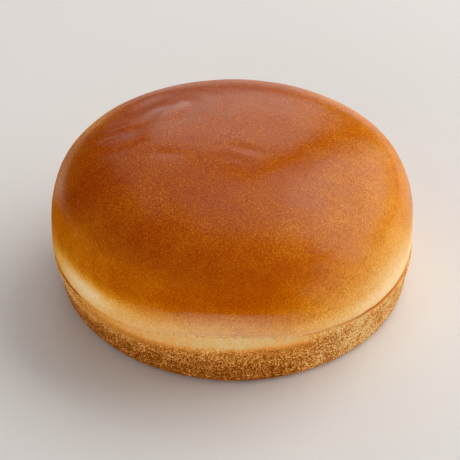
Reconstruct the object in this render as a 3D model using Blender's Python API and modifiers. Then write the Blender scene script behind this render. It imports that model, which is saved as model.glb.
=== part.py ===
"""Whole, uncut brioche burger bun.

The bun was baked standing in a shallow round pan. It has a flat base with a
small rounding, a slightly tapered pan wall, a crease where the dough rose past
the pan, a short lip of dough that hangs over that crease, and a broad glazed
dome with full shoulders. It is one solid.

Frame: metres, +Z up, origin in the middle of the flat base. The side where the
crease rises highest faces -Y.
"""

import math

import bpy
import numpy as np

# Driving sizes, in metres.
DOME_RADIUS = 0.0510
TOTAL_HEIGHT = 0.0474
EQUATOR_HEIGHT = 0.0169
CROWN_RISE = 0.0020
CROWN_RADIUS = 0.0430
SHOULDER_SPREAD = 3.12
SHOULDER_FULLNESS = 4.20

LIP_RADIUS = 0.0035
LIP_TURN = math.radians(52.0)
CREASE_HEIGHT = 0.0140
CREASE_RADIUS = 0.04925
WALL_TOP_HEIGHT = 0.0131
WALL_TOP_RADIUS = 0.05005
WALL_FOOT_RADIUS = 0.04875
FOOT_ROUNDING = 0.0026

# How the crease wanders round the bun.
FRONT_LIFT = 0.0039
FRONT_LIFT_WIDTH = math.radians(24.0)
CREASE_WAVE = 0.00035
LIFT_FADE_TOP = 0.0380
FRONT_CREASE_FILL = 0.00062
CREASE_FILL_REACH = 0.0011

# How far the dome leans over the pan wall, and how far each is from round.
# A swelling is the number of times it repeats round the bun, how far it stands
# out in metres, and the direction in degrees where it stands out most.
DOME_SHIFT_X = -0.0005
DOME_SHIFT_Y = -0.0005
DOME_SWELLINGS = ((2, 0.00017, 85.0), (3, 0.00010, 27.0))
WALL_SWELLINGS = ((1, 0.00025, 90.0), (2, 0.00050, -8.0), (3, 0.00060, 30.0))
CROWN_UNEVENNESS = 0.00035

# Mesh density.
TURN_STEPS = 96
DOME_POINTS = 26
LIP_POINTS = 5
WALL_POINTS = 5
FOOT_POINTS = 4
BASE_POINTS = 3
MERGE_DISTANCE = 0.00001
DENSE_SAMPLES = 600

CRUST_COLOUR = (0.36, 0.115, 0.018, 1.0)
CRUST_ROUGHNESS = 0.36

OBJECT_NAME = "brioche_bun"


def remove_scene_objects():
    """Empty the scene that the part is built in."""
    for old in list(bpy.data.objects):
        bpy.data.objects.remove(old, do_unlink=True)


def smooth_step(low, high, value):
    """Rise smoothly from 0 at low to 1 at high."""
    t = np.clip((value - low) / (high - low), 0.0, 1.0)
    return t * t * (3.0 - 2.0 * t)


def dome_height(radius):
    """Height of the dome at a distance from its own axis."""
    share = np.clip(radius / DOME_RADIUS, 0.0, 1.0)
    shoulder_top = TOTAL_HEIGHT - CROWN_RISE
    body = np.clip(1.0 - share ** SHOULDER_SPREAD, 0.0, 1.0) ** (1.0 / SHOULDER_FULLNESS)
    crown = np.clip(1.0 - (radius / CROWN_RADIUS) ** 2, 0.0, 1.0) ** 2
    return EQUATOR_HEIGHT + (shoulder_top - EQUATOR_HEIGHT) * body + CROWN_RISE * crown


def resample(points, count, bend_weight):
    """Spread points along a line, closer together where it bends."""
    steps = np.diff(points, axis=0)
    lengths = np.hypot(steps[:, 0], steps[:, 1])
    headings = np.unwrap(np.arctan2(steps[:, 1], steps[:, 0]))
    turns = np.abs(np.diff(headings, prepend=headings[0]))
    travelled = np.concatenate([[0.0], np.cumsum(lengths + bend_weight * turns)])
    wanted = np.linspace(0.0, travelled[-1], count)
    return np.stack([np.interp(wanted, travelled, points[:, k]) for k in range(2)], axis=1)


def dome_section():
    """The dome from its top to the widest ring, as radius and height."""
    turn = np.linspace(0.0, math.pi / 2.0, DENSE_SAMPLES)
    radius = DOME_RADIUS * np.sin(turn)
    dense = np.stack([radius, dome_height(radius)], axis=1)
    return resample(dense, DOME_POINTS, bend_weight=0.012)


def lip_section():
    """The underside of the lip, turning in from the widest ring to the crease."""
    turn = np.linspace(0.0, LIP_TURN, LIP_POINTS)[1:]
    radius = DOME_RADIUS - LIP_RADIUS * (1.0 - np.cos(turn))
    height = EQUATOR_HEIGHT - LIP_RADIUS * np.sin(turn)
    return np.stack([radius, height], axis=1)


def wall_section():
    """The crease, the rim of the pan wall and its taper down to the foot."""
    rim = [
        (CREASE_RADIUS, CREASE_HEIGHT),
        (0.5 * (CREASE_RADIUS + WALL_TOP_RADIUS), WALL_TOP_HEIGHT + 0.0006),
    ]
    height = np.linspace(WALL_TOP_HEIGHT, FOOT_ROUNDING, WALL_POINTS)
    share = (height - FOOT_ROUNDING) / (WALL_TOP_HEIGHT - FOOT_ROUNDING)
    radius = WALL_FOOT_RADIUS + (WALL_TOP_RADIUS - WALL_FOOT_RADIUS) * share
    return np.concatenate([np.array(rim), np.stack([radius, height], axis=1)])


def foot_section():
    """The rounded foot and the flat base, in to the axis."""
    turn = np.linspace(0.0, math.pi / 2.0, FOOT_POINTS)[1:]
    radius = WALL_FOOT_RADIUS - FOOT_ROUNDING * (1.0 - np.cos(turn))
    height = FOOT_ROUNDING * (1.0 - np.sin(turn))
    rounding = np.stack([radius, height], axis=1)
    inner = np.linspace(radius[-1], 0.0, BASE_POINTS)[1:]
    base = np.stack([inner, np.zeros_like(inner)], axis=1)
    return np.concatenate([rounding, base])


def turned_mesh():
    """Turn the whole section about +Z with a Screw modifier and return its mesh."""
    section = np.concatenate([dome_section(), lip_section(), wall_section(), foot_section()])
    profile = bpy.data.meshes.new("bun_section")
    points = [(float(radius), 0.0, float(height)) for radius, height in section]
    edges = [(i, i + 1) for i in range(len(points) - 1)]
    profile.from_pydata(points, edges, [])
    guide = bpy.data.objects.new("bun_section", profile)
    bpy.context.scene.collection.objects.link(guide)

    screw = guide.modifiers.new("Turn", "SCREW")
    screw.axis = "Z"
    screw.angle = 2.0 * math.pi
    screw.steps = TURN_STEPS
    screw.render_steps = TURN_STEPS
    screw.use_merge_vertices = True
    screw.merge_threshold = MERGE_DISTANCE

    graph = bpy.context.evaluated_depsgraph_get()
    mesh = bpy.data.meshes.new_from_object(guide.evaluated_get(graph))
    bpy.data.objects.remove(guide, do_unlink=True)
    return mesh


def crease_lift(azimuth):
    """How much higher than usual the crease lies in this direction."""
    from_front = np.angle(np.exp(1j * (azimuth + math.pi / 2.0)))
    front = FRONT_LIFT * np.exp(-(from_front / FRONT_LIFT_WIDTH) ** 2)
    wave = CREASE_WAVE * (np.sin(3.0 * azimuth + 0.6) + 0.6 * np.sin(7.0 * azimuth + 2.1))
    return front + wave


def swelling(azimuth, terms):
    """How far the outline stands out of its circle in this direction."""
    total = np.zeros_like(azimuth)
    for repeats, size, degrees in terms:
        total += size * np.cos(repeats * (azimuth - math.radians(degrees)))
    return total


def relax(points):
    """Move the turned points to the uneven form of a risen bun."""
    x, y, z = points[:, 0], points[:, 1], points[:, 2]
    radius = np.hypot(x, y)
    azimuth = np.arctan2(y, x)

    # The crease gets shallow where it rises at the front.
    from_front = np.angle(np.exp(1j * (azimuth + math.pi / 2.0)))
    shallow = np.exp(-(from_front / (1.6 * FRONT_LIFT_WIDTH)) ** 2)
    near_crease = np.exp(-((z - CREASE_HEIGHT) / CREASE_FILL_REACH) ** 2)
    on_side = smooth_step(0.9 * CREASE_RADIUS, 0.98 * CREASE_RADIUS, radius)
    fill = FRONT_CREASE_FILL * shallow * near_crease * on_side

    # The crease and the lip move up or down together.
    below = smooth_step(FOOT_ROUNDING, WALL_TOP_HEIGHT, z)
    above = 1.0 - smooth_step(EQUATOR_HEIGHT, LIFT_FADE_TOP, z)
    lift = crease_lift(azimuth) * below * above

    # The dome leans a little, and both the dome and the wall are out of round.
    risen = smooth_step(WALL_TOP_HEIGHT, EQUATOR_HEIGHT, z)
    outward = smooth_step(0.2 * DOME_RADIUS, DOME_RADIUS, radius)
    dome_side = swelling(azimuth, DOME_SWELLINGS) * risen
    wall_side = swelling(azimuth, WALL_SWELLINGS) * (1.0 - risen)
    ripple = CROWN_UNEVENNESS * np.sin(2.0 * azimuth + 1.1) * risen * outward * (1.0 - outward) * 4.0

    scale = 1.0 + (fill + (dome_side + wall_side) * outward) / np.maximum(radius, MERGE_DISTANCE)
    moved = np.empty_like(points)
    moved[:, 0] = x * scale + DOME_SHIFT_X * risen
    moved[:, 1] = y * scale + DOME_SHIFT_Y * risen
    moved[:, 2] = z + lift + ripple
    return moved


def centre_over_base(points):
    """Put the middle of the bun's outline over the origin, with its base at zero."""
    low = points.min(axis=0)
    high = points.max(axis=0)
    middle = 0.5 * (low + high)
    return points - np.array([middle[0], middle[1], low[2]])


def crust_material():
    """Browned, egg-washed crust."""
    material = bpy.data.materials.new("crust")
    material.use_nodes = True
    shader = material.node_tree.nodes["Principled BSDF"]
    shader.inputs["Base Color"].default_value = CRUST_COLOUR
    shader.inputs["Roughness"].default_value = CRUST_ROUGHNESS
    shader.inputs["Metallic"].default_value = 0.0
    material.diffuse_color = CRUST_COLOUR
    return material


def main():
    remove_scene_objects()
    mesh = turned_mesh()
    mesh.name = OBJECT_NAME

    points = np.empty(len(mesh.vertices) * 3)
    mesh.vertices.foreach_get("co", points)
    shaped = centre_over_base(relax(points.reshape(-1, 3)))
    mesh.vertices.foreach_set("co", shaped.ravel())
    mesh.update()
    mesh.shade_smooth()
    mesh.materials.clear()
    mesh.materials.append(crust_material())

    bun = bpy.data.objects.new(OBJECT_NAME, mesh)
    collection = bpy.data.collections.new(OBJECT_NAME)
    bpy.context.scene.collection.children.link(collection)
    collection.objects.link(bun)


main()
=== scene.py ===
"""Whole brioche burger bun on a plain pale floor.

The bun is one turned, uneven form: a glazed dome over a lip, a crease, a pale
band and a grainy wall that baked against the side of a shallow pan.
"""

import math

import bpy
import numpy as np
from bpy.props import FloatProperty, FloatVectorProperty, IntProperty, PointerProperty
from bpy.types import Operator, Panel, PropertyGroup
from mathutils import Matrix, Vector, noise


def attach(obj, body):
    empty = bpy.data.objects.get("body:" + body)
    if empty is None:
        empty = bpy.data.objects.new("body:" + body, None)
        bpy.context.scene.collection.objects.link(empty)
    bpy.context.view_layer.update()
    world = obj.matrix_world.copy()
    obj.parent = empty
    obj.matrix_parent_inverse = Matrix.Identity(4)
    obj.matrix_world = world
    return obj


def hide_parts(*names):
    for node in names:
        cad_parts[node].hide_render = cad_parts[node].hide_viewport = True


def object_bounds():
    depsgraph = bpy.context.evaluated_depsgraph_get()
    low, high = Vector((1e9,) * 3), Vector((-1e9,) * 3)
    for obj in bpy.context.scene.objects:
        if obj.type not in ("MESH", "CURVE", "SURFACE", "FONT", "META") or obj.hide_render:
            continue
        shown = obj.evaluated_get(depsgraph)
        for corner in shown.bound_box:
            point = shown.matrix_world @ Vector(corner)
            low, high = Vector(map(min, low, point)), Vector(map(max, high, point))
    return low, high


bl_info = {
    "name": "Brioche bun",
    "version": (1, 0, 0),
    "blender": (4, 5, 0),
    "location": "View3D > Sidebar > Bun",
    "description": "Builds a whole brioche burger bun and the stage that it stands on",
    "category": "Object",
}

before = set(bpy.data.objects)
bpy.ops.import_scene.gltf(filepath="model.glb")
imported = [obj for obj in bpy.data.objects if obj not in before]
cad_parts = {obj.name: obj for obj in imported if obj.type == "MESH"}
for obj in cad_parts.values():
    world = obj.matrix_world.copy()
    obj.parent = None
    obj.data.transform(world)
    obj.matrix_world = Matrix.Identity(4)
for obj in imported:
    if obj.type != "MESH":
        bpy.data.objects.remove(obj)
CAD_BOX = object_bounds()

BUN_NODE = "brioche_bun"
PIECE_NAME = "bun"

MILLIMETRE = 0.001
MERGE_DISTANCE = 0.00001

# How many points draw the section, how often and how far in its corners are cut, and how much
# closer the points lie where it bends, in metres for each radian.
DENSE_SAMPLES = 1200
LIP_SAMPLES = 24
CREASE_SAMPLES = 24
FOOT_SAMPLES = 9
BASE_SAMPLES = 9
CORNER_ROUNDS = 3
CORNER_CUT = 0.25
DOME_BEND_WEIGHT = 0.004
CREASE_BEND_WEIGHT = 0.0006

# How far the lip's rounding turns under, towards the crease.
LIP_TURN = math.radians(62.0)

# Corners of the crease's section, as steps out and up in mm: the first three from its inmost
# ring, the other two from the rim of the wall.
INMOST_CORNERS = ((0.20, -0.28), (0.0, -0.36), (0.35, -0.42))
RIM_CORNERS = ((-0.20, 0.15), (0.0, -0.60))

# The front of the bun, and how far it reaches round, for the crease that rises there.
FRONT_DIRECTION = -math.pi / 2.0
FRONT_WIDTH = math.radians(24.0)

# Where the crease gets shallow and where its painted shade ends, at the left and at the right,
# as directions in degrees from the front where it is open and where it is closed.
SHALLOW_CREASE = ((-68.0, -50.0), (36.0, 14.0))
CLOSED_CREASE = ((-66.0, -50.0), (52.0, 26.0))

# The shallow crease is filled out to the rim of the wall, less an inset. The filling fades
# at these distances from the crease, the widest ring and the rim, in metres.
FILL_INSET = 0.00003
FILL_ABOVE_CREASE = 0.0006
FILL_BELOW_WIDEST = 0.0004
FILL_BELOW_RIM = 0.0012

# How the crease wanders: waves as share, repeats and start in radians, then noise as size,
# lumps in metres and shift. The noise reaches so far above and below the crease.
CREASE_WAVES = ((1.0, 3.0, 0.6), (0.6, 7.0, 2.1))
CREASE_JITTER = ((0.00022, 0.0045, 3.1), (0.00012, 0.0016, 8.7))
JITTER_REACH = 0.0016

# Swellings of the outline: repeats round the bun, size in metres, direction in degrees.
DOME_SWELLINGS = ((2, 0.00017, 85.0), (3, 0.00010, 27.0))
WALL_SWELLINGS = ((1, 0.00025, 90.0), (2, 0.00050, -8.0), (3, 0.00060, 30.0))

# Where the rim of the wall stands out more: size in metres, direction and width in degrees.
# It does so fully from a little below the rim, and ends between two heights at the crease.
RIM_SWELLINGS = ((0.0009, -72.0, 24.0), (0.0005, 62.0, 20.0))
RIM_SWELLING_BELOW = 0.0005
RIM_SWELLING_ENDS = (-0.0003, 0.0008)

# Shares of the radius: how much of the middle stays round, and where the bun's side begins.
ROUND_MIDDLE = 0.2
SIDE_BEGINS = (0.90, 0.97)

# Rise and fall of the shoulders: repeats round the bun and start in radians.
RIPPLE_REPEATS = 2.0
RIPPLE_START = 1.1

# Line along which a shift moves the noise.
NOISE_LINE = (1.0, 0.37, -0.61)

# Noise in the surface, as share, lumps in metres and shift. The waves of the top set in, and
# the grain of the wall ends, between two rises in metres. The base has a share of the grain.
TOP_WAVES = ((0.65, 0.021, 1.7), (0.40, 0.0085, 5.2))
TOP_SETS_IN = (0.010, 0.018)
WALL_GRAIN = ((0.65, 0.00090, 2.3), (0.35, 0.0026, 6.4))
GRAIN_ENDS = (-0.0055, -0.0030)
BASE_GRAIN = 0.5

# How far the top is sunk, in metres, to leave room for its ridges.
TOP_SINK = 0.00020

# Small tears along the closed crease: depth, rise and height in metres, how much further
# round than the front they reach, and the noise that they come from, as lumps and shift.
TEAR_DEPTH = 0.00042
TEAR_RISE = -0.00040
TEAR_HEIGHT = 0.00034
TEAR_REACH = 1.5
TEAR_NOISE = (0.0016, 9.9)
TEAR_BEGINS = (0.02, 0.30)

# Hollows, and ridges where the depth is negative, in the top of the dome, in metres:
# x, y, length, width, depth, and the way the length lies in degrees.
FOLDS = (
    (0.0030, -0.0030, 0.0040, 0.0018, 0.00016, 155.0),
    (-0.0014, -0.0074, 0.0045, 0.0018, 0.00010, 165.0),
    (0.0044, -0.0066, 0.0036, 0.0016, -0.00009, 150.0),
    (0.0100, 0.0198, 0.0060, 0.0015, 0.00009, 150.0),
    (0.0205, 0.0205, 0.0050, 0.0015, 0.00008, 160.0),
    (-0.0340, 0.0040, 0.0060, 0.0019, -0.00022, 16.0),
    (-0.0335, 0.0083, 0.0050, 0.0016, 0.00017, 14.0),
    (-0.0335, 0.0118, 0.0050, 0.0018, -0.00019, 12.0),
    (-0.0330, -0.0002, 0.0075, 0.0021, 0.00025, 18.0),
    (-0.0185, -0.0040, 0.0030, 0.0020, 0.00020, -15.0),
    (-0.0188, 0.0162, 0.0070, 0.0024, -0.00024, 50.0),
    (-0.0150, 0.0135, 0.0050, 0.0022, 0.00014, 45.0),
    (-0.0235, 0.0260, 0.0090, 0.0040, 0.00031, 40.0),
)

# Browning of the dome at these rises above the crease, in mm: how brown it is all round, and
# how much it lightens towards LIGHTER_SIDE, which is in degrees from the front.
BROWNING_RISE = (1.0, 4.0, 8.0, 13.0, 20.0, 27.0, 33.5)
BROWNING_ALL_ROUND = (0.35, 0.37, 0.56, 0.66, 0.64, 0.70, 0.78)
BROWNING_LEAN = (-0.15, -0.06, -0.09, -0.03, 0.01, 0.11, 0.0)
LIGHTER_SIDE = 115.0

# Patches that browned more or less, and three of painted light marked below: change, direction
# and width in degrees, rise and height in mm.
BROWNING_AND_PAINTED_LIGHT_PATCHES = (
    (-0.38, -52.0, 17.0, 6.8, 3.1),
    # Painted shade: carries the dark line of the crease on at the left.
    (0.32, -62.0, 18.0, 0.5, 1.8),
    # Painted highlights on the lip's underside, this patch and the next.
    (-0.24, 29.0, 12.0, -0.1, 1.4),
    (-0.22, 76.0, 12.0, 0.9, 1.5),
    (-0.46, 69.0, 40.0, 8.0, 12.0),
    (0.15, -70.7, 9.0, 23.1, 5.5),
    (0.18, -160.0, 70.0, 28.0, 4.0),
    (0.19, 105.0, 27.0, 12.0, 8.0),
    (0.03, 20.0, 45.0, 16.0, 9.0),
    (0.08, -18.0, 35.0, 26.0, 4.0),
    (0.05, 0.0, 70.0, 32.5, 2.5),
    (0.07, 27.0, 18.0, 6.2, 3.0),
    (0.12, 82.0, 15.0, 14.0, 5.0),
    (0.08, -165.0, 75.0, 31.0, 3.0),
    (0.06, -103.0, 24.0, 29.5, 3.0),
)

# Bands that browned more, up the front, low down there, by the left of the crease and low
# down behind it, and less, on the gold rim at the back left: change, direction and width in
# degrees, then pairs of rises in mm where the change is nothing and where it is full.
BROWNING_BANDS = (
    (0.15, -2.0, 32.0, ((4.0, 10.0), (28.0, 20.0))),
    (0.19, 3.0, 27.0, ((9.5, 3.5),)),
    (0.38, -79.0, 13.0, ((4.3, 1.9),)),
    (0.14, -115.0, 40.0, ((15.0, 6.0),)),
    (-0.24, -118.0, 16.0, ((29.5, 25.0),)),
)

# The egg wash begins at this rise and is full so much further up, in mm. At the right, between
# these directions, it begins lower. At the back it only begins higher. The other shifts are
# given as mm, direction and width in degrees.
GLAZE_START = 18.0
GLAZE_SPREAD = 8.0
GLAZE_RIGHT = ((12.0, 35.0), (105.0, 75.0))
GLAZE_RIGHT_DROP = 15.0
GLAZE_BACK = (175.0, 55.0)
GLAZE_BACK_LIFT = 5.0
GLAZE_SHIFTS = ((3.0, -122.0, 25.0), (-4.0, -86.0, 9.0))

# Lines where the egg wash lies thinner, or thicker below zero: half width in metres, then
# x, y and how much thinner along the line.
THIN_WASH = (
    (0.0034, ((0.0340, 0.0120, 0.85), (0.0257, 0.0033, 0.90), (0.0131, -0.0093, 0.80),
              (0.0045, -0.0145, 0.60), (-0.0088, -0.0066, 0.50), (-0.0226, -0.0013, 0.45))),
    (0.0014, ((-0.0350, 0.0096, 0.45), (-0.0255, 0.0118, 0.70))),
    (0.0016, ((-0.0335, 0.0006, 0.50), (-0.0238, 0.0040, 0.80))),
    (0.0022, ((-0.0235, 0.0160, -0.60), (-0.0150, 0.0225, -0.60))),
    (0.0020, ((-0.0345, 0.0060, -0.40), (-0.0280, 0.0075, -0.40))),
    (0.0032, ((0.0345, 0.0080, -0.70), (0.0415, 0.0045, -0.70))),
    (0.0030, ((-0.0185, 0.0240, 0.45), (-0.0120, 0.0260, 0.45))),
    (0.0040, ((0.0470, -0.0120, 0.30), (0.0435, -0.0270, 0.45))),
)

# How far those lines wander, and the lumps and shifts of the noise that moves them.
WASH_DRIFT = 0.0020
WASH_DRIFT_LUMPS = 0.0060
WASH_DRIFT_SHIFTS = (7.7, 14.2)

# Directions in degrees, to both sides, between which the front gives way to the back.
TO_BACK = (90.0, 140.0)

# How light the pan wall is at its foot and at its rim: at the front left, what it gains from
# one direction to another, bumps as tone, direction and width in degrees, and at the back.
FOOT_TONE = (0.24, ((0.20, -45.0, -85.0), (0.48, 8.0, 45.0)), (), 0.36)
RIM_TONE = (0.52, ((0.20, -50.0, -80.0), (0.26, 28.0, 50.0)), ((-0.08, 62.0, 10.0),), 0.58)
FOOT_TO_RIM = (-9.8, -4.6)

# Added to it: a patch below the rim at the left, as tone, direction and width, rise and
# height, and the wall at the right, as tone, direction and width.
WALL_PATCHES = ((0.16, -58.0, 18.0, -4.6, 2.2),)
WALL_LIGHTER = ((0.06, 45.0, 30.0),)

# The cream band under the closed crease: tone, direction and width in degrees. It begins at
# this rise in the middle, so much higher beside it, and is full so much further up, in mm.
CREAM_TONE = 0.40
CREAM_AT = (-4.0, 50.0)
CREAM_START = -5.8
CREAM_NARROWING = 3.0
CREAM_MIDDLE = (-8.0, 30.0)
CREAM_SPREAD = 2.4

# Painted reflection of the floor: a pale sheen over the crease at the front, as share, direction
# and width in degrees, and how much of both is lost for each mm of rise. It ends between two
# rises in mm, and noise, given as lumps and shift, moves that edge.
PAINTED_SHEEN_SHARE = 0.26
PAINTED_SHEEN_SHARE_LOSS = 0.02
PAINTED_SHEEN_DIRECTION = -3.0
PAINTED_SHEEN_WIDTH = 36.0
PAINTED_SHEEN_WIDTH_LOSS = 1.6
PAINTED_SHEEN_TOP = 10.0
PAINTED_SHEEN_ENDS = (10.8, 8.9)
PAINTED_SHEEN_WAVER = 1.7
PAINTED_SHEEN_NOISE = (0.0065, 4.4)

# How strongly the dome's finest specks show: low down, what the top adds between two rises in
# mm, and bands at the back left and at the right.
SPECKLE_LOW = 0.60
SPECKLE_TOP = 0.45
SPECKLE_TOP_FROM = (20.0, 30.0)
SPECKLE_BANDS = ((0.55, -140.0, 75.0, ((16.0, 28.0),)), (0.25, 60.0, 50.0, ((24.0, 12.0),)))

# How strongly the crumb grain shows. In front and at the left it is a first value, a gain and
# the two rises in mm that the gain lies between, and at the right a value and a bump. At the
# sides it fades between two rises below the crease, and they begin between two directions.
FRONT_CONTRAST = (0.22, 0.96, -2.8, -7.0)
LEFT_CONTRAST = (0.80, 0.20, -6.0, -11.0)
LEFT_CONTRAST_ENDS = (-0.4, -1.0)
LEFT_CONTRAST_FROM = (-40.0, -65.0)
RIGHT_CONTRAST = 1.26
RIGHT_CONTRAST_BUMPS = ((0.70, 45.0, 30.0),)
RIGHT_CONTRAST_ENDS = (-0.4, -1.2)
RIGHT_CONTRAST_FROM = (18.0, 38.0)
BACK_CONTRAST = 1.0

# Painted shade in the open crease: its strength, its height and its rise in mm, each with what
# the left and the right add, where these are, and how much stronger it is towards one side.
CREASE_SHADE_STRENGTH = (0.74, 0.0, 0.46)
CREASE_SHADE_HEIGHT = (0.62, 0.15, 0.10)
CREASE_SHADE_RISE = (-0.55, 0.15, 0.42)
CREASE_SHADE_LEFT = (-75.0, 22.0)
CREASE_SHADE_RIGHT = ((22.0, 42.0), (140.0, 110.0))
CREASE_SHADE_LEAN = 0.26
CREASE_SHADE_LEAN_SIDE = -90.0

# Painted shade in the tears: share, direction and width in degrees, rise and height in mm.
TEAR_SHADE_LINE = ((1.0, -8.0, 33.0, -0.35, 0.42),)

# Markings of the crust as noise: lumps in metres, detail and roughness.
SLOW = (0.020, 2.0, 0.5)
MOTTLE = (0.0042, 3.0, 0.5)
FRECKLE = (0.0011, 2.0, 0.5)
SPECKLE = (0.00030, 1.0, 0.5)
CRUMB = (0.00041, 2.0, 0.6)
CLUMP = (0.0013, 2.0, 0.5)
TEAR = (0.0008, 2.0, 0.5)

# How much the markings add to the browning and to the tone of the wall. The mottle counts
# more on a lighter wall: two tones, then what it counts there. Pits go no darker than a limit.
BROWNING_SLOW = 0.20
BROWNING_MOTTLE = 0.14
BROWNING_FRECKLE = 0.15
TONE_CRUMB = 2.5
TONE_CLUMP = 0.80
TONE_MOTTLE = (0.50, 0.82, 0.35, 1.0)
DARKEST_PIT = -0.36

# Where wall and dome meet, as two rises in mm, and how much the clumps move that line.
DOME_BEGINS = (-0.7, 0.4)
DOME_EDGE_CLUMP = 1.2

# How the painted shade of the crease and of the tears sets in, how much the clumps move it, and
# the tones of the wall between which the crease's painted shade goes from brown to orange.
CREASE_SHADE_SETS_IN = (0.15, 0.95)
CREASE_SHADE_CLUMP = 0.3
CREASE_SHADE_ORANGE_FROM = (0.70, 0.80)
TEAR_SHADE_SETS_IN = (0.50, 0.66, 0.0, 0.75)

# Roughness of the crust, and the egg wash as a coat: its usual weight, how much the mottle
# changes it, and its roughness.
WALL_ROUGHNESS = 0.85
DOME_ROUGHNESS = 0.60
COAT_WEIGHT = 0.60
COAT_MOTTLE = 0.5
COAT_ROUGHNESS = 0.20

# Height of the finest grain on the wall and of the specks on the dome, in mm.
WALL_BUMP = 0.22
DOME_BUMP = 0.045

FLOOR_ROUGHNESS = 0.75
FLOOR_SHINE = 0.2

# Colours of the light, as linear red, green and blue.
WINDOW_COLOUR = (1.0, 0.93, 0.86)
BACK_COLOUR = (1.0, 0.93, 0.88)
FILL_COLOUR = (1.0, 0.97, 0.94)

# Soft panels: name, the setting with its power, azimuth and elevation in degrees, distance,
# width and height in metres, colour, and whether it shines on the crust.
PANELS = (
    ("window", "window_power", 57.0, 43.0, 1.20, 1.25, 0.85, WINDOW_COLOUR, True),
    ("window_low", "low_power", 62.0, 16.0, 1.20, 1.50, 0.36, WINDOW_COLOUR, True),
    ("window_side", "side_power", 98.0, 19.0, 1.20, 0.34, 0.90, WINDOW_COLOUR, True),
    ("window_top", "top_power", 24.0, 64.0, 1.20, 0.70, 0.40, WINDOW_COLOUR, True),
    ("side_glow", "glow_power", 118.0, 14.0, 1.20, 0.36, 1.00, WINDOW_COLOUR, True),
    ("back_panel", "back_power", 0.0, 23.0, 1.30, 0.50, 0.76, BACK_COLOUR, True),
    ("back_glow", "back_glow_power", -2.0, 37.0, 1.50, 1.10, 1.50, BACK_COLOUR, True),
    ("wash_panel", "wash_power", 60.0, 42.0, 1.30, 1.60, 1.20, WINDOW_COLOUR, False),
    ("fill_panel", "fill_power", -158.0, 11.0, 1.60, 2.40, 0.70, FILL_COLOUR, False),
)

ROOM_COLOUR = (1.0, 1.0, 1.0, 1.0)

# Width of the camera's sensor in mm, and how near and far it sees in metres.
SENSOR_WIDTH = 36.0
CLIP_NEAR = 0.05
CLIP_FAR = 50.0


def metres(name, description, default):
    """A size in metres."""
    return FloatProperty(
        name=name, description=description, default=default, subtype="DISTANCE", unit="LENGTH",
    )


def watts(name, description, default):
    """The power of a light."""
    return FloatProperty(
        name=name, description=description + ", in watts", default=default, min=0.0,
    )


def tint(name, description, red, green, blue):
    """A colour, as linear red, green and blue."""
    return FloatVectorProperty(
        name=name, description=description,
        default=(red, green, blue, 1.0), size=4, subtype="COLOR", min=0.0, max=1.0,
    )


class BunSizes(PropertyGroup):
    """Sizes of the bun."""

    dome_radius: metres("Dome radius", "Half the width of the dome at its widest ring", 0.0510)
    total_height: metres("Height", "Height of the whole bun above its flat base", 0.0474)
    equator_height: metres(
        "Height of the widest ring", "Height of the dome's widest ring at the sides", 0.0169,
    )
    crown_rise: metres(
        "Crown rise", "How far the middle of the top stands above the full shoulders", 0.0020,
    )
    crown_radius: metres("Crown radius", "How far from the middle the crown begins to rise", 0.0430)
    shoulder_spread: FloatProperty(
        name="Shoulder spread", description="How far out the top stays flat", default=3.12,
    )
    shoulder_fullness: FloatProperty(
        name="Shoulder fullness", description="How square the shoulders are", default=4.20,
    )
    lip_radius: metres("Lip rounding", "Radius of the dough that hangs over the crease", 0.0035)
    crease_height: metres("Crease height", "Height of the crease at the sides", 0.0140)
    crease_depth: metres(
        "Crease depth", "How far the crease cuts in behind the rim of the wall", 0.0012,
    )
    wall_top_height: metres("Wall rim height", "Height of the rim of the pan wall", 0.0131)
    wall_top_radius: metres("Wall rim radius", "Half the width of the pan wall at its rim", 0.05005)
    wall_foot_radius: metres(
        "Wall foot radius", "Half the width of the pan wall just above its rounded foot", 0.04875,
    )
    foot_rounding: metres("Foot rounding", "Radius between the wall and the flat base", 0.0026)
    front_lift: metres(
        "Front lift", "How much higher the crease lies at the front than at the sides", 0.0039,
    )
    crease_wave: metres(
        "Crease wave", "How far the crease wanders up and down round the bun", 0.00035,
    )
    lift_fade_top: metres(
        "Lift fade", "Height at which the dome no longer follows the crease", 0.0380,
    )
    dome_shift: FloatVectorProperty(
        name="Dome shift",
        description="How far the dome leans over the wall, along X and Y",
        default=(-0.0005, -0.0005), size=2, subtype="XYZ", unit="LENGTH",
    )
    crown_unevenness: metres(
        "Crown unevenness", "Slow rise and fall of the dome round its shoulders", 0.00035,
    )
    dome_waviness: metres("Dome waviness", "Depth of the slow hollows in the glazed top", 0.00040)
    grain_depth: metres("Grain depth", "Depth of the crumb grain on the pan wall", 0.00030)
    turn_steps: IntProperty(
        name="Turn steps", description="Faces round the bun", default=480, min=96, max=720,
    )
    dome_rings: IntProperty(
        name="Dome rings",
        description="Rings of faces from the top to the widest ring",
        default=132, min=20, max=160,
    )
    wall_rings: IntProperty(
        name="Wall rings", description="Rings of faces up the pan wall", default=34, min=10, max=60,
    )


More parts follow.
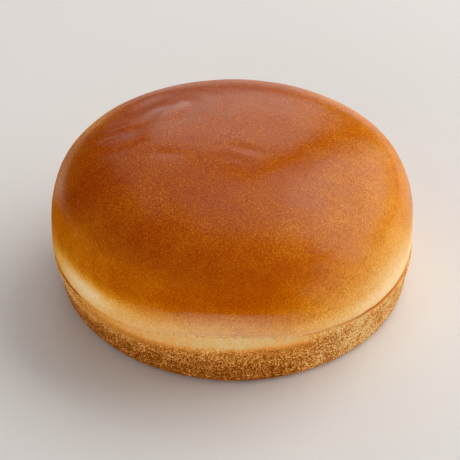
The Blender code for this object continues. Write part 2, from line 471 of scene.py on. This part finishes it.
class CrustColours(PropertyGroup):
    """Colours of the crust."""

    pale_dough: tint("Pale dough", "Dome that hardly browned", 0.97, 0.73, 0.44)
    cream_dough: tint("Cream dough", "First hint of browning", 0.92, 0.61, 0.27)
    light_gold: tint("Light gold", "Lightly browned dome", 0.86, 0.465, 0.12)
    deep_gold: tint("Deep gold", "Well browned dome", 0.78, 0.32, 0.025)
    orange_glaze: tint("Orange glaze", "Glazed dome, lighter parts", 0.62, 0.185, 0.004)
    brown_glaze: tint("Brown glaze", "Glazed dome, usual colour", 0.47, 0.098, 0.001)
    deep_glaze: tint("Deep glaze", "Glazed dome, darkest parts", 0.31, 0.036, 0.0005)
    # Painted reflection of the floor, a pale sheen low on the dome at the front.
    haze: tint("Haze", "Dull skin below the edge of the egg wash", 0.80, 0.79, 0.67)
    # Painted shade in the small tears along the closed crease.
    tear_shade_brown: tint("Tear brown", "In tears along the closed crease", 0.38, 0.22, 0.06)
    # Painted crease shade; the orange at the right is painted light shining through the dough.
    crease_shade_brown: tint("Seam brown", "In the crease at the left and back", 0.31, 0.080, 0.004)
    crease_shade_orange: tint("Seam orange", "In the crease at the right", 0.62, 0.178, 0.005)
    pit_brown: tint("Pit brown", "In the pits of the pan wall", 0.18, 0.047, 0.002)
    wall_brown: tint("Wall brown", "Darker crumb of the pan wall", 0.30, 0.087, 0.012)
    wall_tan: tint("Wall tan", "Usual crumb of the pan wall", 0.54, 0.190, 0.030)
    wall_gold: tint("Wall gold", "Lighter crumb of the pan wall", 0.86, 0.370, 0.070)
    wall_cream: tint("Wall cream", "Crumb by the closed crease", 0.80, 0.595, 0.275)


class StageSettings(PropertyGroup):
    """Floor, lights and camera."""

    camera_distance: metres("Camera distance", "From the camera to the middle of the base", 0.6894)
    camera_elevation: FloatProperty(
        name="Camera elevation", description="Angle of the camera above the floor",
        default=math.radians(37.78), subtype="ANGLE", unit="ROTATION",
    )
    camera_aim: FloatVectorProperty(
        name="Camera aim", description="Point that the camera looks at",
        default=(-0.00073, 0.00822, 0.01060), size=3, subtype="XYZ", unit="LENGTH",
    )
    camera_lens: FloatProperty(
        name="Camera lens", description="Focal length in millimetres on a 36 mm sensor",
        default=187.8, min=1.0,
    )
    floor_colour: tint("Floor colour", "Plain pale floor", 0.79, 0.795, 0.80)
    floor_width: metres("Floor width", "Side of the square floor", 12.0)
    window_power: watts("Window power", "Large soft light on the right", 7.6)
    low_power: watts("Low window power", "Weaker panel below the window", 1.4)
    side_power: watts("Side strip power", "Strip at the far right", 2.2)
    top_power: watts("Window top power", "Weaker strip above the back", 0.6)
    glow_power: watts("Side glow power", "Weak strip to the right of the side strip", 1.0)
    back_power: watts("Back panel power", "Soft panel behind the bun", 1.3)
    back_glow_power: watts("Back glow power", "Wide, weak panel behind the back panel", 2.8)
    wash_power: watts("Wash power", "Even light from the right, without shine", 4.2)
    fill_power: watts("Fill power", "Wide, weak panel at the front left", 15.0)
    room_light: FloatProperty(
        name="Room light", description="Strength of the even light all round",
        default=0.22, min=0.0,
    )


def smooth_step(low, high, value):
    """Rise smoothly from 0 at low to 1 at high."""
    t = np.clip((value - low) / (high - low), 0.0, 1.0)
    return t * t * (3.0 - 2.0 * t)


def between(edges, value):
    """Share of 1 inside all edges, each a pair of values for nothing and for the full share."""
    share = 1.0
    for nothing, full in edges:
        share = share * smooth_step(nothing, full, value)
    return share


def noise_at(points, size, shift):
    """Even noise from about -1 to 1, with lumps of the given size in metres."""
    start = Vector([share * shift for share in NOISE_LINE])
    scale = 1.0 / size
    return np.array([noise.noise(Vector(p) * scale + start) for p in points.tolist()])


def layered_noise(points, layers):
    """Noise of several sizes added up."""
    return sum(share * noise_at(points, size, shift) for share, size, shift in layers)


def resample(points, count, bend_weight):
    """Spread points along a line, closer together where it bends."""
    steps = np.diff(points, axis=0)
    lengths = np.hypot(steps[:, 0], steps[:, 1])
    headings = np.unwrap(np.arctan2(steps[:, 1], steps[:, 0]))
    turns = np.abs(np.diff(headings, prepend=headings[0]))
    travelled = np.concatenate([[0.0], np.cumsum(lengths + bend_weight * turns)])
    wanted = np.linspace(0.0, travelled[-1], count)
    return np.stack([np.interp(wanted, travelled, points[:, k]) for k in range(2)], axis=1)


def cut_corners(points, rounds):
    """Round the corners of a line by cutting each one again and again."""
    for _ in range(rounds):
        start, end = points[:-1], points[1:]
        cut = np.empty((2 * len(start), 2))
        cut[0::2] = (1.0 - CORNER_CUT) * start + CORNER_CUT * end
        cut[1::2] = CORNER_CUT * start + (1.0 - CORNER_CUT) * end
        points = np.concatenate([points[:1], cut, points[-1:]])
    return points


def dome_section(sizes):
    """The dome from its top to the widest ring, as radius and height."""
    turn = np.linspace(0.0, math.pi / 2.0, DENSE_SAMPLES)
    share = np.sin(turn)
    radius = sizes.dome_radius * share
    shoulder_top = sizes.total_height - sizes.crown_rise
    body = np.clip(1.0 - share ** sizes.shoulder_spread, 0.0, 1.0)
    body = body ** (1.0 / sizes.shoulder_fullness)
    crown = np.clip(1.0 - (radius / sizes.crown_radius) ** 2, 0.0, 1.0) ** 2
    rise = (shoulder_top - sizes.equator_height) * body
    height = sizes.equator_height + rise + sizes.crown_rise * crown
    return resample(np.stack([radius, height], axis=1), sizes.dome_rings, DOME_BEND_WEIGHT)


def crease_section(sizes):
    """The lip's underside, the crease and the rim of the wall."""
    turn = np.linspace(0.0, LIP_TURN, LIP_SAMPLES)
    lip_radius = sizes.dome_radius - sizes.lip_radius * (1.0 - np.cos(turn))
    lip_height = sizes.equator_height - sizes.lip_radius * np.sin(turn)
    inmost = np.array([sizes.wall_top_radius - sizes.crease_depth, sizes.crease_height])
    rim = np.array([sizes.wall_top_radius, sizes.wall_top_height])
    line = np.concatenate([
        np.stack([lip_radius, lip_height], axis=1),
        inmost + MILLIMETRE * np.array(INMOST_CORNERS),
        rim + MILLIMETRE * np.array(RIM_CORNERS),
    ])
    return resample(cut_corners(line, CORNER_ROUNDS), CREASE_SAMPLES, CREASE_BEND_WEIGHT)[1:]


def wall_section(sizes):
    """The wall from below its rim to the rounded foot."""
    top = sizes.wall_top_height + RIM_CORNERS[-1][1] * MILLIMETRE
    height = np.linspace(top, sizes.foot_rounding, sizes.wall_rings)[1:]
    share = (height - sizes.foot_rounding) / (top - sizes.foot_rounding)
    radius = sizes.wall_foot_radius + (sizes.wall_top_radius - sizes.wall_foot_radius) * share
    return np.stack([radius, height], axis=1)


def foot_section(sizes):
    """The rounded foot and the flat base, in to the axis."""
    turn = np.linspace(0.0, math.pi / 2.0, FOOT_SAMPLES)[1:]
    radius = sizes.wall_foot_radius - sizes.foot_rounding * (1.0 - np.cos(turn))
    height = sizes.foot_rounding * (1.0 - np.sin(turn))
    inner = np.linspace(radius[-1], 0.0, BASE_SAMPLES)[1:]
    base = np.stack([inner, np.zeros_like(inner)], axis=1)
    return np.concatenate([np.stack([radius, height], axis=1), base])


def turned_mesh(section, steps):
    """Turn a section about +Z with a Screw modifier and return the mesh."""
    profile = bpy.data.meshes.new("bun_section")
    points = [(float(radius), 0.0, float(height)) for radius, height in section]
    profile.from_pydata(points, [(i, i + 1) for i in range(len(points) - 1)], [])
    guide = bpy.data.objects.new("bun_section", profile)
    bpy.context.scene.collection.objects.link(guide)
    screw = guide.modifiers.new("Turn", "SCREW")
    screw.axis = "Z"
    screw.angle = 2.0 * math.pi
    screw.steps = steps
    screw.render_steps = steps
    screw.use_merge_vertices = True
    screw.merge_threshold = MERGE_DISTANCE
    graph = bpy.context.evaluated_depsgraph_get()
    mesh = bpy.data.meshes.new_from_object(guide.evaluated_get(graph))
    bpy.data.objects.remove(guide, do_unlink=True)
    bpy.data.meshes.remove(profile)
    return mesh


def vertex_points(mesh):
    """The mesh's points as an array of metres."""
    flat = np.empty(len(mesh.vertices) * 3)
    mesh.vertices.foreach_get("co", flat)
    return flat.reshape(-1, 3)


def place_vertices(mesh, points):
    """Move the mesh's points to the given ones."""
    mesh.vertices.foreach_set("co", points.ravel())
    mesh.update()


def swelling(azimuth, terms):
    """How far the outline stands out of its circle in this direction."""
    return sum(
        size * np.cos(repeats * (azimuth - math.radians(degrees)))
        for repeats, size, degrees in terms
    )


def from_front(azimuth):
    """Angle round the bun from its front, from minus pi to pi."""
    return np.angle(np.exp(1j * (azimuth - FRONT_DIRECTION)))


def bump_at(degrees, middle, width):
    """A smooth bump of height 1 in one direction, with all three in degrees."""
    away = (degrees - middle + 180.0) % 360.0 - 180.0
    return np.exp(-(away / width) ** 2)


def bumps(degrees, terms):
    """Bumps round the bun added up, each as its height, direction and width."""
    return sum(height * bump_at(degrees, middle, width) for height, middle, width in terms)


def patches(rise, degrees, terms):
    """Soft patches added up, each as its change, direction and width, rise and height."""
    return sum(
        change * bump_at(degrees, middle, width) * np.exp(-((rise - height) / spread) ** 2)
        for change, middle, width, height, spread in terms
    )


def bands(rise, degrees, terms):
    """Soft bands added up, each as its change, direction and width, and pairs of rises."""
    return sum(
        change * bump_at(degrees, middle, width) * between(edges, rise)
        for change, middle, width, edges in terms
    )


def dome_browning_and_painted_light(rise, degrees):
    """How brown the dome is, from 0 for pale dough to 1 for deepest glaze, plus painted light."""
    facing = np.radians(degrees - LIGHTER_SIDE)
    brown = np.interp(rise, BROWNING_RISE, BROWNING_ALL_ROUND)
    brown -= np.interp(rise, BROWNING_RISE, BROWNING_LEAN) * np.cos(facing)
    brown += patches(rise, degrees, BROWNING_AND_PAINTED_LIGHT_PATCHES)
    return brown + bands(rise, degrees, BROWNING_BANDS)


def glaze_share(rise, degrees):
    """Where the egg wash lies: over the top, and further down at the right."""
    lift = GLAZE_BACK_LIFT * bump_at(degrees, *GLAZE_BACK)
    start = GLAZE_START - GLAZE_RIGHT_DROP * between(GLAZE_RIGHT, degrees)
    start = start + lift + bumps(degrees, GLAZE_SHIFTS)
    return smooth_step(start, start + GLAZE_SPREAD - lift, rise)


def wash_left(points):
    """How thick the egg wash lies: 1 as usual, and less along the lines where it is thin."""
    thinner = np.zeros(len(points))
    drift = [noise_at(points, WASH_DRIFT_LUMPS, shift) for shift in WASH_DRIFT_SHIFTS]
    flat = points[:, :2] + WASH_DRIFT * np.stack(drift, axis=1)
    for width, line in THIN_WASH:
        for (x0, y0, first), (x1, y1, last) in zip(line[:-1], line[1:]):
            start, along = np.array([x0, y0]), np.array([x1 - x0, y1 - y0])
            share = np.clip((flat - start) @ along / (along @ along), 0.0, 1.0)
            away = np.hypot(*(flat - start - share[:, None] * along).T)
            here = (first + (last - first) * share) * np.exp(-(away / width) ** 2)
            thinner = np.where(np.abs(here) > np.abs(thinner), here, thinner)
    return 1.0 - thinner


def tone_round(degrees, front_left, gains, dips, back):
    """Tone of the wall round the bun, at one height."""
    tone = front_left + sum(gain * smooth_step(start, end, degrees) for gain, start, end in gains)
    tone = tone + bumps(degrees, dips)
    return tone + (back - tone) * smooth_step(*TO_BACK, np.abs(degrees))


def wall_tone(rise, degrees):
    """How light the pan wall is, from 0 in a burnt pit to 1 for the cream crumb by the crease."""
    foot = tone_round(degrees, *FOOT_TONE)
    rim = tone_round(degrees, *RIM_TONE)
    tone = foot + (rim - foot) * smooth_step(*FOOT_TO_RIM, rise)
    tone += patches(rise, degrees, WALL_PATCHES) + bumps(degrees, WALL_LIGHTER)
    start = CREAM_START + CREAM_NARROWING * (1.0 - bump_at(degrees, *CREAM_MIDDLE))
    cream = bump_at(degrees, *CREAM_AT) * smooth_step(start, start + CREAM_SPREAD, rise)
    return tone + CREAM_TONE * cream


def painted_sheen_share(rise, degrees, wobble):
    """How much painted floor reflection shows below the edge of the egg wash at the front."""
    edge = smooth_step(*PAINTED_SHEEN_ENDS, rise + PAINTED_SHEEN_WAVER * wobble)
    width = PAINTED_SHEEN_WIDTH - PAINTED_SHEEN_WIDTH_LOSS * np.clip(rise, 0.0, PAINTED_SHEEN_TOP)
    share = PAINTED_SHEEN_SHARE - PAINTED_SHEEN_SHARE_LOSS * rise
    return share * bump_at(degrees, PAINTED_SHEEN_DIRECTION, width) * edge


def speckle_strength(rise, degrees):
    """How strongly the dome's finest specks show: most on top, and at the back left."""
    on_top = SPECKLE_TOP * smooth_step(*SPECKLE_TOP_FROM, rise)
    return SPECKLE_LOW + on_top + bands(rise, degrees, SPECKLE_BANDS)


def gained(value, first, gain, start, end):
    """The first value, and the gain added to it from start to end."""
    return first + gain * smooth_step(start, end, value)


def crumb_contrast(rise, degrees):
    """How strongly the crumb grain shows: least in the cream band, most on the right."""
    contrast = gained(rise, *FRONT_CONTRAST)
    left = gained(rise, *LEFT_CONTRAST) * smooth_step(*LEFT_CONTRAST_ENDS, rise)
    right = RIGHT_CONTRAST + bumps(degrees, RIGHT_CONTRAST_BUMPS)
    right = right * smooth_step(*RIGHT_CONTRAST_ENDS, rise)
    contrast = contrast + (left - contrast) * smooth_step(*LEFT_CONTRAST_FROM, degrees)
    contrast = contrast + (right - contrast) * smooth_step(*RIGHT_CONTRAST_FROM, degrees)
    return contrast + (BACK_CONTRAST - contrast) * smooth_step(*TO_BACK, np.abs(degrees))


def crease_shade_share(rise, degrees):
    """How much painted shade lies in the open crease. None does where the crease is closed."""
    at_left = bump_at(degrees, *CREASE_SHADE_LEFT)
    at_right = between(CREASE_SHADE_RIGHT, degrees)
    strength, height, middle = (
        usual + left * at_left + right * at_right
        for usual, left, right in (CREASE_SHADE_STRENGTH, CREASE_SHADE_HEIGHT, CREASE_SHADE_RISE)
    )
    strength = strength + CREASE_SHADE_LEAN * np.cos(np.radians(degrees - CREASE_SHADE_LEAN_SIDE))
    still_open = 1.0 - between(CLOSED_CREASE, degrees)
    return still_open * strength * np.exp(-((rise - middle) / height) ** 2)


def crease_lift(azimuth, sizes):
    """How much higher than usual the crease lies in this direction."""
    front = sizes.front_lift * np.exp(-(from_front(azimuth) / FRONT_WIDTH) ** 2)
    wave = sum(share * np.sin(repeats * azimuth + start) for share, repeats, start in CREASE_WAVES)
    return front + sizes.crease_wave * wave


def relax(points, sizes):
    """Move the turned points to the uneven form of a risen bun."""
    x, y, z = points[:, 0], points[:, 1], points[:, 2]
    radius = np.hypot(x, y)
    azimuth = np.arctan2(y, x)
    ring = np.stack([np.cos(azimuth), np.sin(azimuth), np.zeros_like(azimuth)], axis=1)

    # The crease gets shallow where it rises at the front.
    degrees = np.degrees(from_front(azimuth))
    fade_from = sizes.crease_height + FILL_ABOVE_CREASE
    below_lip = 1.0 - smooth_step(fade_from, sizes.equator_height - FILL_BELOW_WIDEST, z)
    above_rim = smooth_step(sizes.wall_top_height - FILL_BELOW_RIM, sizes.wall_top_height, z)
    missing = np.maximum(sizes.wall_top_radius - FILL_INSET - radius, 0.0)
    fill = between(SHALLOW_CREASE, degrees) * below_lip * above_rim * missing

    # Small tears and scallops make the crease wander.
    jitter = layered_noise(ring * sizes.dome_radius, CREASE_JITTER)

    # The crease and the lip move up or down together.
    below = smooth_step(sizes.foot_rounding, sizes.wall_top_height, z)
    above = 1.0 - smooth_step(sizes.equator_height, sizes.lift_fade_top, z)
    near = np.exp(-((z - sizes.crease_height) / JITTER_REACH) ** 2)
    lift = crease_lift(azimuth, sizes) * below * above + jitter * near

    # The dome leans a little, and both the dome and the wall are out of round.
    risen = smooth_step(sizes.wall_top_height, sizes.equator_height, z)
    outward = smooth_step(ROUND_MIDDLE * sizes.dome_radius, sizes.dome_radius, radius)
    side = swelling(azimuth, DOME_SWELLINGS) * risen
    side += swelling(azimuth, WALL_SWELLINGS) * (1.0 - risen)
    at_rim = smooth_step(sizes.foot_rounding, sizes.wall_top_height - RIM_SWELLING_BELOW, z)
    at_rim *= 1.0 - smooth_step(*RIM_SWELLING_ENDS, z - sizes.crease_height)
    side += bumps(degrees, RIM_SWELLINGS) * at_rim

    # The shoulders rise and fall, most of all halfway out, where 4 x (1 - x) is 1.
    halfway = outward * (1.0 - outward) * 4.0
    ripple = np.sin(RIPPLE_REPEATS * azimuth + RIPPLE_START) * risen * halfway

    inner, outer = (share * sizes.wall_foot_radius for share in SIDE_BEGINS)
    on_side = smooth_step(inner, outer, radius)
    scale = 1.0 + (fill * on_side + side * outward) / np.maximum(radius, MERGE_DISTANCE)
    moved = np.empty_like(points)
    moved[:, 0] = x * scale + sizes.dome_shift[0] * risen
    moved[:, 1] = y * scale + sizes.dome_shift[1] * risen
    moved[:, 2] = z + lift + sizes.crown_unevenness * ripple
    low, high = moved.min(axis=0), moved.max(axis=0)
    return moved - np.array([0.5 * (low[0] + high[0]), 0.5 * (low[1] + high[1]), low[2]])


def fold_depth(points):
    """Depth of the small hollows in the dome, less the height of the ridges."""
    depth = np.zeros(len(points))
    for x, y, reach, width, deepest, degrees in FOLDS:
        turn = math.radians(degrees)
        along = (points[:, 0] - x) * math.cos(turn) + (points[:, 1] - y) * math.sin(turn)
        across = (points[:, 1] - y) * math.cos(turn) - (points[:, 0] - x) * math.sin(turn)
        depth += deepest * np.exp(-((along / reach) ** 2) - (across / width) ** 2)
    return depth


def surface_depth(points, rise, azimuth, sizes):
    """How far each point lies below the smooth form: waves, folds, crumb grain and tears."""
    on_dome = smooth_step(*TOP_SETS_IN, rise)
    waves = 0.5 - 0.5 * layered_noise(points, TOP_WAVES)
    depth = sizes.dome_waviness * waves * on_dome
    depth += (TOP_SINK + fold_depth(points)) * on_dome

    # Crumb grain covers the wall up to the pale band, and the base.
    on_wall = 1.0 - smooth_step(*GRAIN_ENDS, rise)
    grain = 0.5 + 0.5 * layered_noise(points, WALL_GRAIN)
    depth += sizes.grain_depth * grain * on_wall

    # Fine tears sit along the crease where it is shallow.
    shallow = np.exp(-(from_front(azimuth) / (TEAR_REACH * FRONT_WIDTH)) ** 2)
    at_crease = np.exp(-((rise - TEAR_RISE) / TEAR_HEIGHT) ** 2)
    tears = smooth_step(*TEAR_BEGINS, noise_at(points, *TEAR_NOISE))
    depth += TEAR_DEPTH * tears * at_crease * shallow
    return np.maximum(depth, 0.0)


def add_value(mesh, name, values):
    """Store one number for each point, for the material to read."""
    layer = mesh.attributes.new(name, "FLOAT", "POINT")
    layer.data.foreach_set("value", values.astype(np.float32))


def bun_mesh(sizes):
    """The whole bun with its fine surface, and the numbers that its material reads."""
    section = np.concatenate([
        dome_section(sizes), crease_section(sizes), wall_section(sizes), foot_section(sizes),
    ])
    mesh = turned_mesh(section, sizes.turn_steps)
    turned = vertex_points(mesh)
    rise = turned[:, 2] - sizes.crease_height
    azimuth = np.arctan2(turned[:, 1], turned[:, 0])
    place_vertices(mesh, relax(turned, sizes))

    smooth = vertex_points(mesh)
    normals = np.empty(len(mesh.vertices) * 3)
    mesh.vertex_normals.foreach_get("vector", normals)
    normals = normals.reshape(-1, 3)
    depth = surface_depth(smooth, rise, azimuth, sizes)
    flat_base = smooth[:, 2] < 0.5 * MERGE_DISTANCE
    depth[flat_base] *= BASE_GRAIN
    shaped = smooth - normals * depth[:, None]
    low, high = (np.array(corner) for corner in CAD_BOX)
    shaped = np.clip(shaped, low, high)
    place_vertices(mesh, shaped)

    rise_mm = rise / MILLIMETRE
    degrees = np.degrees(from_front(azimuth))
    read_by_material = {
        "rise_mm": rise_mm,
        # Browning, with the painted shade and highlights of some patches.
        "browning": dome_browning_and_painted_light(rise_mm, degrees),
        "glaze": glaze_share(rise_mm, degrees) * wash_left(smooth),
        "wall_tone": wall_tone(rise_mm, degrees),
        # Painted shade in the open crease.
        "seam": crease_shade_share(rise_mm, degrees),
        # Painted reflection of the floor, low on the dome at the front.
        "haze": painted_sheen_share(rise_mm, degrees, noise_at(smooth, *PAINTED_SHEEN_NOISE)),
        "speckle": speckle_strength(rise_mm, degrees),
        "crumb_contrast": crumb_contrast(rise_mm, degrees),
        # Painted shade in the tears.
        "tear_line": patches(rise_mm, degrees, TEAR_SHADE_LINE),
    }
    for name, values in read_by_material.items():
        add_value(mesh, name, values)
    mesh.shade_smooth()
    return mesh


class NodeBench:
    """Adds and joins shader nodes in one tree."""

    def __init__(self, tree):
        self.tree = tree

    def add(self, kind, inputs=None, **settings):
        """Add a node, set its options and fill or link its inputs."""
        node = self.tree.nodes.new(kind)
        for key, value in settings.items():
            setattr(node, key, value)
        for key, value in (inputs or {}).items():
            if isinstance(value, bpy.types.NodeSocket):
                self.tree.links.new(value, node.inputs[key])
            else:
                node.inputs[key].default_value = value
        return node

    def math(self, operation, first, second):
        """One arithmetic step."""
        return self.add("ShaderNodeMath", {0: first, 1: second}, operation=operation).outputs[0]

    def times(self, first, second):
        """Multiply two values."""
        return self.math("MULTIPLY", first, second)

    def plus(self, value, extra, share):
        """Add a share of an extra value."""
        return self.math("ADD", value, self.times(extra, share))

    def remap(self, value, low, high, to_low=0.0, to_high=1.0, smooth=True):
        """Carry a value from one range to another, held at both ends."""
        ends = {"From Min": low, "From Max": high, "To Min": to_low, "To Max": to_high}
        kind = "SMOOTHSTEP" if smooth else "LINEAR"
        node = self.add("ShaderNodeMapRange", {"Value": value, **ends}, interpolation_type=kind)
        return node.outputs["Result"]

    def mix(self, share, first, second):
        """Mix two colours."""
        sockets = {0: share, 6: first, 7: second}
        return self.add("ShaderNodeMix", sockets, data_type="RGBA").outputs[2]

    def noise(self, where, size, detail, roughness):
        """Noise with lumps of the given size in metres, from 0 to 1."""
        inputs = {"Vector": where, "Scale": 1.0 / size, "Detail": detail, "Roughness": roughness}
        return self.add("ShaderNodeTexNoise", inputs).outputs["Fac"]

    def centred(self, value):
        """Carry a value from 0 to 1 to run either side of zero."""
        return self.math("SUBTRACT", value, 0.5)

    def attribute(self, name):
        """A number stored on the mesh."""
        return self.add("ShaderNodeAttribute", attribute_name=name).outputs["Fac"]

    def ramp(self, value, stops):
        """Run through the given colours as the value grows."""
        node = self.add("ShaderNodeValToRGB", {"Fac": value})
        elements = node.color_ramp.elements
        while len(elements) < len(stops):
            elements.new(1.0)
        for element, (position, colour) in zip(elements, stops):
            element.position = position
            element.color = tuple(colour)
        return node.outputs["Color"]


def crust_material(colours):
    """Baked crust: glazed dome, pale dough by the crease, and dry grain on the wall and base."""
    material = bpy.data.materials.new("baked_crust")
    material.use_nodes = True
    tree = material.node_tree
    bench = NodeBench(tree)
    shader = tree.nodes["Principled BSDF"]

    where = bench.add("ShaderNodeTexCoord").outputs["Object"]
    slow, mottle, freckle, speckle, crumb, clump = (
        bench.centred(bench.noise(where, *marking))
        for marking in (SLOW, MOTTLE, FRECKLE, SPECKLE, CRUMB, CLUMP)
    )

    # Dome: one run of colours from pale dough to the deepest glaze.
    browning = bench.plus(bench.attribute("browning"), slow, BROWNING_SLOW)
    browning = bench.plus(browning, mottle, BROWNING_MOTTLE)
    browning = bench.plus(browning, freckle, BROWNING_FRECKLE)
    browning = bench.plus(browning, speckle, bench.attribute("speckle"))
    dome = bench.ramp(browning, (
        (0.00, colours.pale_dough), (0.15, colours.cream_dough), (0.30, colours.light_gold),
        (0.45, colours.deep_gold), (0.60, colours.orange_glaze), (0.75, colours.brown_glaze),
        (1.00, colours.deep_glaze),
    ))
    # Painted reflection of the floor: a pale sheen mixed in low on the dome at the front.
    dome = bench.mix(bench.attribute("haze"), dome, tuple(colours.haze))

    # Pan wall: fine crumb grain from burnt pits to cream.
    lightness = bench.attribute("wall_tone")
    grain = bench.plus(bench.times(crumb, TONE_CRUMB), clump, TONE_CLUMP)
    grain = bench.plus(grain, mottle, bench.remap(lightness, *TONE_MOTTLE))
    grain = bench.times(grain, bench.attribute("crumb_contrast"))
    grain = bench.math("MAXIMUM", grain, DARKEST_PIT)
    tone = bench.math("ADD", lightness, grain)
    wall = bench.ramp(tone, (
        (0.00, colours.pit_brown), (0.25, colours.wall_brown), (0.50, colours.wall_tan),
        (0.75, colours.wall_gold), (1.00, colours.wall_cream),
    ))
    rise = bench.plus(bench.attribute("rise_mm"), clump, DOME_EDGE_CLUMP)
    above_crease = bench.remap(rise, *DOME_BEGINS)
    colour = bench.mix(above_crease, wall, dome)

    # Painted shade: the open crease is darkened, brown at the left and orange at the right, and so
    # are the small tears along the closed one.
    at_right = bench.remap(lightness, *CREASE_SHADE_ORANGE_FROM)
    crease_shade_colour = bench.mix(at_right, tuple(colours.crease_shade_brown), tuple(colours.crease_shade_orange))
    seam = bench.plus(bench.attribute("seam"), clump, CREASE_SHADE_CLUMP)
    colour = bench.mix(bench.remap(seam, *CREASE_SHADE_SETS_IN), colour, crease_shade_colour)
    # Painted shade in the tears: dark specks along the closed crease.
    tears = bench.remap(bench.noise(where, *TEAR), *TEAR_SHADE_SETS_IN)
    tears = bench.times(tears, bench.attribute("tear_line"))
    colour = bench.mix(tears, colour, tuple(colours.tear_shade_brown))
    tree.links.new(colour, shader.inputs["Base Color"])

    # The crust and the crumb are dry. The egg wash lies over the dome as a thin, uneven coat.
    roughness = bench.remap(above_crease, 0.0, 1.0, WALL_ROUGHNESS, DOME_ROUGHNESS, smooth=False)
    tree.links.new(roughness, shader.inputs["Roughness"])
    coat = bench.times(bench.attribute("glaze"), above_crease)
    coat = bench.times(coat, bench.plus(COAT_WEIGHT, mottle, COAT_MOTTLE))
    tree.links.new(coat, shader.inputs["Coat Weight"])
    shader.inputs["Coat Roughness"].default_value = COAT_ROUGHNESS
    shader.inputs["Metallic"].default_value = 0.0
    shader.inputs["Specular IOR Level"].default_value = 0.0

    below_crease = bench.math("SUBTRACT", 1.0, above_crease)
    wall_height = bench.times(bench.times(crumb, WALL_BUMP), below_crease)
    height = bench.plus(wall_height, bench.times(speckle, DOME_BUMP), above_crease)
    bump = bench.add("ShaderNodeBump", {"Strength": 1.0, "Distance": MILLIMETRE, "Height": height})
    tree.links.new(bump.outputs["Normal"], shader.inputs["Normal"])
    return material


def floor_material(settings):
    """Plain pale floor."""
    material = bpy.data.materials.new("pale_floor")
    material.use_nodes = True
    shader = material.node_tree.nodes["Principled BSDF"]
    shader.inputs["Base Color"].default_value = settings.floor_colour
    shader.inputs["Roughness"].default_value = FLOOR_ROUGHNESS
    shader.inputs["Specular IOR Level"].default_value = FLOOR_SHINE
    return material


def direction(azimuth_degrees, elevation_degrees):
    """Unit vector: azimuth 0 is +Y and 90 is +X, elevation is above the floor."""
    azimuth, elevation = math.radians(azimuth_degrees), math.radians(elevation_degrees)
    flat = math.cos(elevation)
    return Vector((math.sin(azimuth) * flat, math.cos(azimuth) * flat, math.sin(elevation)))


def soft_panel(name, power, azimuth, elevation, distance, width, height, colour, shines):
    """A rectangular soft light that faces the bun."""
    lamp = bpy.data.lights.new(name, "AREA")
    lamp.shape = "RECTANGLE"
    lamp.size = width
    lamp.size_y = height
    lamp.energy = power
    lamp.color = colour
    panel = bpy.data.objects.new(name, lamp)
    panel.location = direction(azimuth, elevation) * distance
    panel.rotation_mode = "QUATERNION"
    panel.rotation_quaternion = panel.location.to_track_quat("Z", "Y")
    panel.visible_camera = False
    panel.visible_glossy = shines
    bpy.context.scene.collection.objects.link(panel)


class BUN_OT_add_bun(Operator):
    """Build the bun with its crust and put it in place of the plain solid"""

    bl_idname = "bun.add_bun"
    bl_label = "Add bun"

    def execute(self, context):
        mesh = bun_mesh(context.scene.bun_sizes)
        mesh.name = PIECE_NAME
        mesh.materials.clear()
        mesh.materials.append(crust_material(context.scene.bun_colours))
        bun = bpy.data.objects.new(PIECE_NAME, mesh)
        context.scene.collection.objects.link(bun)
        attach(bun, "root")
        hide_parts(BUN_NODE)
        return {"FINISHED"}


class BUN_OT_add_stage(Operator):
    """Lay the floor, hang the lights and place the camera"""

    bl_idname = "bun.add_stage"
    bl_label = "Add stage"

    def execute(self, context):
        settings = context.scene.bun_stage
        bpy.ops.mesh.primitive_plane_add(size=settings.floor_width, location=(0.0, 0.0, 0.0))
        floor = context.active_object
        floor.name = "floor"
        floor.data.materials.append(floor_material(settings))

        for name, power, *place, colour, shines in PANELS:
            soft_panel(name, getattr(settings, power), *place, colour, shines)

        world = bpy.data.worlds.new("room")
        world.use_nodes = True
        air = world.node_tree.nodes["Background"]
        air.inputs["Color"].default_value = ROOM_COLOUR
        air.inputs["Strength"].default_value = settings.room_light
        world.cycles_visibility.glossy = False
        context.scene.world = world
        context.scene.view_settings.view_transform = "Standard"

        lens = bpy.data.cameras.new("camera")
        lens.lens = settings.camera_lens
        lens.sensor_width = SENSOR_WIDTH
        lens.clip_start = CLIP_NEAR
        lens.clip_end = CLIP_FAR
        camera = bpy.data.objects.new("camera", lens)
        elevation = settings.camera_elevation
        away = Vector((0.0, -math.cos(elevation), math.sin(elevation)))
        camera.location = away * settings.camera_distance
        look = Vector(settings.camera_aim) - camera.location
        camera.rotation_mode = "QUATERNION"
        camera.rotation_quaternion = look.to_track_quat("-Z", "Y")
        context.scene.collection.objects.link(camera)
        context.scene.camera = camera
        return {"FINISHED"}


class BUN_PT_sidebar(Panel):
    """Lists the bun's steps and sizes"""

    bl_idname = "BUN_PT_sidebar"
    bl_label = "Brioche bun"
    bl_space_type = "VIEW_3D"
    bl_region_type = "UI"
    bl_category = "Bun"

    def draw(self, context):
        column = self.layout.column()
        for operator in (BUN_OT_add_bun, BUN_OT_add_stage):
            column.operator(operator.bl_idname)
        for group in (context.scene.bun_sizes, context.scene.bun_colours, context.scene.bun_stage):
            column.separator()
            for name in group.__annotations__:
                column.prop(group, name)


CLASSES = (BunSizes, CrustColours, StageSettings, BUN_OT_add_bun, BUN_OT_add_stage, BUN_PT_sidebar)


def register():
    for item in CLASSES:
        bpy.utils.register_class(item)
    bpy.types.Scene.bun_sizes = PointerProperty(type=BunSizes)
    bpy.types.Scene.bun_colours = PointerProperty(type=CrustColours)
    bpy.types.Scene.bun_stage = PointerProperty(type=StageSettings)


def unregister():
    del bpy.types.Scene.bun_stage
    del bpy.types.Scene.bun_colours
    del bpy.types.Scene.bun_sizes
    for item in reversed(CLASSES):
        bpy.utils.unregister_class(item)


def main():
    register()
    bpy.ops.bun.add_bun()
    bpy.ops.bun.add_stage()


if __name__ == "__main__":
    main()
